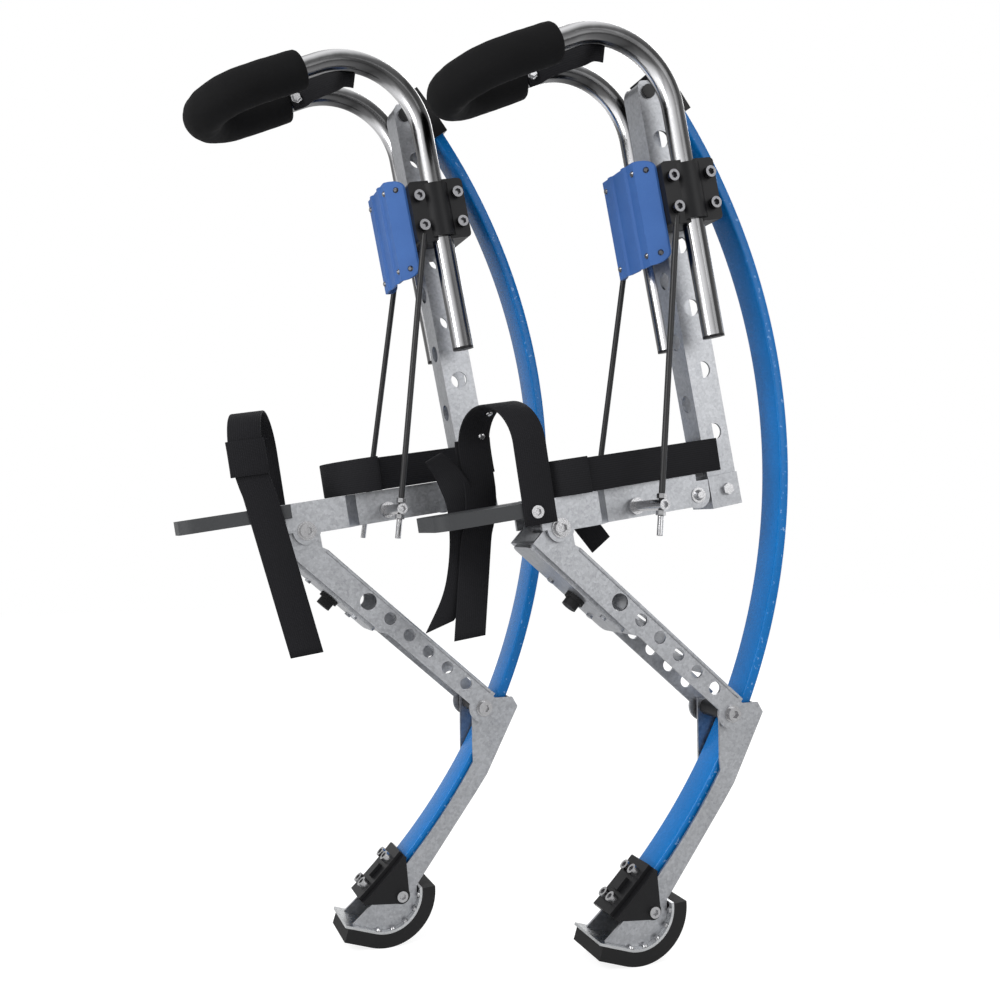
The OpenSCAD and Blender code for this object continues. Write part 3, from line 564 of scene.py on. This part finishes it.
def makeToeStrap(side):
    outer = stilts[side]["outer"]
    leg, springing = toe["leg"], toe["arch"] - toe["leg"]
    low, lean, leanFrom = toe["tail"][side]
    run = [(leg, toe["foot"] + (springing - toe["foot"]) * k / toe["legSteps"]) for k in range(toe["legSteps"])]
    for k in range(toe["archSteps"] + 1):
        a = math.pi * k / toe["archSteps"]
        run.append((leg * math.cos(a), springing + leg * math.sin(a)))
    for k in range(1, toe["tailSteps"] + 1):
        run.append((-leg, springing + (low - springing) * k / toe["tailSteps"]))
    points = []
    for x, dz in run:
        below = max(leanFrom - dz, 0.0) if x < 0 else 0.0
        sway = -lean * below * min(below / toe["easeIn"], 1.0)  # the inner leg leans from its fold down
        points.append(deckPoint(side, x * outer, toe["middle"] + toe["skew"] * x + sway, dz))
    piece = makeStrap(side + "_toe_webbing", points, deckWay(side, 1, 0), side + "_frame")
    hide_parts(side + "_toe_strap")


# the ankle strap: from the upright's sides forward and round the front; the right one is drawn tighter
ankle = {"low": 34.0, "radius": 51.3, "middle": {"left": 35.0, "right": 90.0}, "tab": 19.6,
         "end": 221.0, "bend": 208.0, "meet": 204.0, "sideSteps": 14, "frontSteps": 32}


def makeAnkleStrap(side):
    r, mid, tab, meet = ankle["radius"], ankle["middle"][side], ankle["tab"], ankle["meet"]
    height = ankle["low"] + strap["width"] / 2
    near = [(tab, ankle["end"]), (tab, ankle["bend"])]
    for k in range(ankle["sideSteps"]):
        t = k / ankle["sideSteps"]
        near.append((tab + (r - tab) * t, meet + (mid - meet) * t))
    front = []
    for k in range(ankle["frontSteps"] + 1):
        a = math.pi * k / ankle["frontSteps"]
        front.append((r * math.cos(a), mid - r * math.sin(a)))
    run = near + front + [(-x, y) for x, y in reversed(near)]
    points = [deckPoint(side, x, y, height) for x, y in run]
    piece = makeStrap(side + "_ankle_webbing", points, deckWay(side, 0, 1), side + "_frame")
    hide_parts(side + "_ankle_strap")


# the knee strap: a band that stands between the arms, from the far arm's inner side, just behind
# the foam, back to the near arm; its ends lie along the tubes
kneeStrap = {"near": -36.0, "far": 4.0, "lap": 14.0, "width": 28.0, "clear": 14.0, "lead": 2.0,
             "turnIn": 14.0, "turnRun": 9.0, "drop": {"near": -11.0, "far": -1.5}, "smooth": 5}


def makeKneeStrap(side):
    near, far, lap, lead = (kneeStrap[k] for k in ("near", "far", "lap", "lead"))
    low, high = kneeStrap["drop"]["near"], kneeStrap["drop"]["far"]
    x = knee["halfGap"] - kneeStrap["clear"]
    inner, start, stop = x - kneeStrap["turnIn"], near + kneeStrap["turnRun"], far - kneeStrap["turnRun"]
    rows = [(x, near - lap, low), (x, near - lap / 2, low), (x - lead, near + lead, low), (inner, start, low)]
    for t in (0.33, 0.67):
        rows.append((inner * (1 - 2 * t), start + (stop - start) * t, low + (high - low) * t))
    rows += [(-inner, stop, high), (lead - x, far - lead, high)]
    rows += [(-x, far + lap / 2 - lead, high), (-x, far + lap, high)]
    ups = [(kneeAlong(side, a, b, c + 1) - kneeAlong(side, a, b, c)).normalized() for a, b, c in rows]
    points = easeCurve([kneeAlong(side, *row) for row in rows], kneeStrap["smooth"])
    across = easeCurve(ups, kneeStrap["smooth"])
    piece = makeStrap(side + "_knee_webbing", points, across, side + "_knee", kneeStrap["width"])
    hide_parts(side + "_knee_strap")


# loose ends of the left stilt's straps, as they hang in the photograph, in the stilt's own frame:
# x, y and z in mm, then the way the width runs
looseEnds = {
    "curl": {"width": 36.0, "rows": [
        (-58.0, -116.0, 572.0, (1.0, 0.25, 0.25)), (-57.0, -98.0, 552.0, (0.8, 0.6, 0.3)),
        (-54.0, -84.0, 522.0, (0.25, 1.0, 0.1)), (-52.0, -81.0, 486.0, (0, 1.0, 0)),
        (-52.0, -83.0, 446.0, (0, 1.0, 0)), (-53.0, -91.0, 413.0, (0, 1.0, 0.1)),
        (-54.0, -111.0, 379.0, (0, 1.0, 0.40)),
    ]},
    "corner": {"width": 30.0, "rows": [
        (-43.6, 62.0, 500.0, (0, 1.0, 0.82)), (-43.8, 78.0, 481.0, (0, 1.0, 0.82)),
        (-44.0, 87.5, 469.5, (0, 1.0, 0.82)),
    ]},
}


def makeLooseEnd(side, part, smooth=8):
    rows = looseEnds[part]["rows"]
    points = easeCurve([stiltPoint(side, *row[:3]) for row in rows], smooth)
    across = easeCurve([Vector(row[3]).normalized() for row in rows], smooth)
    makeStrap(f"{side}_strap_{part}", points, across, side + "_frame", looseEnds[part]["width"])


def lathe(name, origin, axis, profile, slotName, body, spokes=24, sharp=False):
    # a turned piece: radius and height in mm along the axis
    axis = axis.normalized()
    across = axis.orthogonal().normalized()
    frames = [(origin + axis * (h * mm), across, axis.cross(across)) for r, h in profile]
    turns = [(math.cos(2 * math.pi * k / spokes), math.sin(2 * math.pi * k / spokes)) for k in range(spokes)]
    piece = sweep(name, frames, [[(c * r, d * r) for c, d in turns] for r, h in profile], slotName)
    if sharp:
        for face in piece.data.polygons:
            face.use_smooth = False
    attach(piece, body)
    return piece


# threads on the lower ends of the stays
thread = {"foot": (86.0, 101.5, 9.0), "head": (61.0, -24.0, 329.5), "from": -34.0, "to": -12.0, "pitch": 1.25,
          "root": 3.03, "crest": 3.42, "chamfer": (0.5, 0.15), "spokes": 20}


def makeThreads(side):
    root, crest, pitch, low = thread["root"], thread["crest"], thread["pitch"], thread["from"]
    profile = [(root - thread["chamfer"][0], low - thread["chamfer"][1])]
    for k in range(int((thread["to"] - low) / pitch)):
        profile += [(root, low + k * pitch), (crest, low + k * pitch + pitch * 0.5)]
    profile.append((root, thread["to"]))
    for hand, word in ((1, "outer"), (-1, "inner")):
        foot = deckPoint(side, thread["foot"][0] * hand, *thread["foot"][1:])
        head = mastPoint(side, thread["head"][0] * hand, *thread["head"][1:])
        name = f"{side}_stay_thread_{word}"
        lathe(name, foot, head - foot, profile, "zinc", side + "_frame", thread["spokes"])


# rivets that join the doubled toe strap, heads on the inner face of the arch
toeRivets = {"angles": (122.0, 160.0), "shift": 9.0,
             "profile": [(4.0, -0.2), (4.0, 0.54), (3.2, 1.35), (1.8, 1.8)]}


def archPoint(side, angle, radius):
    a, leg = math.radians(angle), toe["leg"]
    along = toe["middle"] + toe["skew"] * leg * math.cos(a) + toeRivets["shift"]
    x = radius * math.cos(a) * stilts[side]["outer"]
    return deckPoint(side, x, along, toe["arch"] - leg + radius * math.sin(a))


def makeToeRivets(side):
    inner = toe["leg"] - strap["thick"] / 2
    for n, angle in enumerate(toeRivets["angles"]):
        spot = archPoint(side, angle, inner)
        inward = archPoint(side, angle, inner - 5) - spot
        lathe(f"{side}_toe_rivet_{n}", spot, inward, toeRivets["profile"], "zinc", side + "_frame")


# the doubled fold of the toe strap on its inner leg: inward and up, in mm
fold = {"out": 3.4, "width": 43.0, "thick": 3.2, "smooth": 6,
        "rows": [(1.2, 72.0), (0.0, 78.0), (-0.6, 92.0), (0.0, 104.0), (1.6, 112.0)]}


def makeFold(side):
    outer = stilts[side]["outer"]
    x = -(toe["leg"] + fold["out"])
    along = toe["middle"] - toe["skew"] * toe["leg"]
    rows = [deckPoint(side, (x + dx) * outer, along, dz) for dx, dz in fold["rows"]]
    points = easeCurve(rows, fold["smooth"])
    across = deckWay(side, 1, 0)
    makeStrap(side + "_toe_fold", points, across, side + "_frame", fold["width"], fold["thick"])


# the overlapped end of the ankle strap, on its outer front
overlap = {"out": 2.9, "width": 40.0, "lift": 0.6, "tuck": 0.4, "before": 2.0, "turn": 100, "step": 5}


def makeOverlap(side):
    r, mid = ankle["radius"] + overlap["out"], ankle["middle"][side]
    height = ankle["low"] + strap["width"] / 2 + overlap["lift"]
    run = [(r - overlap["tuck"], mid + overlap["before"]), (r, mid)]
    for angle in range(overlap["step"], overlap["turn"] + 1, overlap["step"]):
        a = math.radians(angle)
        run.append((r * math.cos(a), mid - r * math.sin(a)))
    points = [deckPoint(side, x, y, height) for x, y in run]
    makeStrap(side + "_ankle_overlap", points, deckWay(side, 0, 1), side + "_frame", overlap["width"])


# the hex bolt that holds the knee strap on the far arm, with its washer
strapBolt = {"s": 9.8, "x": -38.6, "up": -1.5, "spokes": 6,
             "profile": [(7.29, -0.8), (7.29, 0.5), (5.4, 0.55), (5.4, 3.8), (4.752, 4.4), (2.16, 4.4)]}


def makeStrapBolt(side):
    spot = kneePoint(side, strapBolt["x"], strapBolt["s"], strapBolt["up"])
    lathe(side + "_strap_bolt", spot, Vector((1, 0, 0)), strapBolt["profile"], "zinc", side + "_knee",
          strapBolt["spokes"], True)


for side in stilts:
    makeLeaf(side)
    makeFoam(side)
    makeToeStrap(side)
    makeAnkleStrap(side)
    makeKneeStrap(side)
    makeThreads(side)
    makeToeRivets(side)
    makeFold(side)
    makeOverlap(side)
    makeStrapBolt(side)
    print("soft pieces and leaf", side)

makeLooseEnd("left", "curl")
makeLooseEnd("left", "corner")
print("loose ends", len(looseEnds))

# camera at the photograph's viewing angle
view = {"at": (1225.4, -430.35, 490.0), "azimuth": 70.02, "rise": 1.49, "roll": -0.68,
        "lens": 39.53, "sensor": 36.0, "clip": 0.01}


def setCamera():
    a, p, r = (math.radians(view[k]) for k in ("azimuth", "rise", "roll"))
    ahead = Vector((-math.sin(a) * math.cos(p), math.cos(a) * math.cos(p), math.sin(p)))
    right = Vector((math.cos(a), math.sin(a), 0))
    up = right.cross(ahead)
    turnedRight = right * math.cos(r) + up * math.sin(r)
    turnedUp = up * math.cos(r) - right * math.sin(r)
    data = bpy.data.cameras.new("view")
    data.lens = view["lens"]
    data.sensor_width = view["sensor"]
    data.clip_start = view["clip"]
    camera = bpy.data.objects.new("view", data)
    scene.collection.objects.link(camera)
    rows = Matrix((turnedRight, turnedUp, -ahead)).transposed().to_4x4()
    camera.matrix_world = Matrix.Translation(Vector(view["at"]) * mm) @ rows
    scene.camera = camera


setCamera()
print("camera set")

# pale floor, white surround and soft lamps
studio = {"floor": 0.86, "halfFloor": 6.0, "drop": 0.0002, "glow": 1.4, "glowShare": 0.6,
          "surround": 0.45, "mirrored": 0.5, "aim": (0, 0, 0.55)}


def makeFloor():
    material, wire, shader = startFinish("studio_floor")
    camera = wire.node("ShaderNodeLightPath", out="Is Camera Ray")
    plain = wire.node("ShaderNodeBsdfDiffuse", None, {"Color": (studio["floor"],) * 3 + (1,)})
    glow = wire.node("ShaderNodeEmission", None, {"Color": (1, 1, 1, 1), "Strength": studio["glow"]})
    mixed = wire.node("ShaderNodeMixShader", None, {0: camera * studio["glowShare"], 1: plain, 2: glow})
    wire.feed(material.node_tree.nodes["Material Output"], {"Surface": mixed})
    mesh = bpy.data.meshes.new("studio_floor")
    h = studio["halfFloor"]
    mesh.from_pydata([(-h, -h, 0), (h, -h, 0), (h, h, 0), (-h, h, 0)], [], [(0, 1, 2, 3)])
    mesh.materials.append(material)
    floor = bpy.data.objects.new("studio_floor", mesh)
    floor.location.z = -studio["drop"]
    scene.collection.objects.link(floor)


def makeSurround():
    world = bpy.data.worlds.new("studio")
    scene.world = world
    world.use_nodes = True
    wire = Wire(world.node_tree)
    camera = wire.node("ShaderNodeLightPath", out="Is Camera Ray")
    glossy = wire.node("ShaderNodeLightPath", out="Is Glossy Ray")
    clear = wire.node("ShaderNodeLightPath", out="Is Transmission Ray")
    seen = wire.sum("MINIMUM", camera + glossy * studio["mirrored"] + clear, 1.0)
    wire.feed(world.node_tree.nodes["Background"], {
        "Color": (1, 1, 1, 1),
        "Strength": between((studio["surround"], 1.0), seen),
    })


lamps = {
    "key": {"at": (1.3, -2.5, 2.3), "size": 1.4, "watts": 56},
    "side": {"at": (2.4, 1.2, 1.4), "size": 1.6, "watts": 16},
    "back": {"at": (-2.2, 1.6, 2.2), "size": 1.6, "watts": 30},
    "fill": {"at": (0.8, -2.4, 0.3), "size": 1.2, "watts": 16},
    "rear": {"at": (-0.8, 2.7, 0.8), "size": 1.4, "watts": 9},
}


def makeLamps():
    for name, lamp in lamps.items():
        data = bpy.data.lights.new(name, "AREA")
        data.size = lamp["size"]
        data.energy = lamp["watts"]
        shine = bpy.data.objects.new(name, data)
        shine.location = lamp["at"]
        aim = Vector(studio["aim"]) - Vector(lamp["at"])
        shine.rotation_euler = aim.to_track_quat("-Z", "Y").to_euler()
        scene.collection.objects.link(shine)


makeFloor()
makeSurround()
makeLamps()
scene.view_settings.view_transform = "Standard"
print("studio ready")
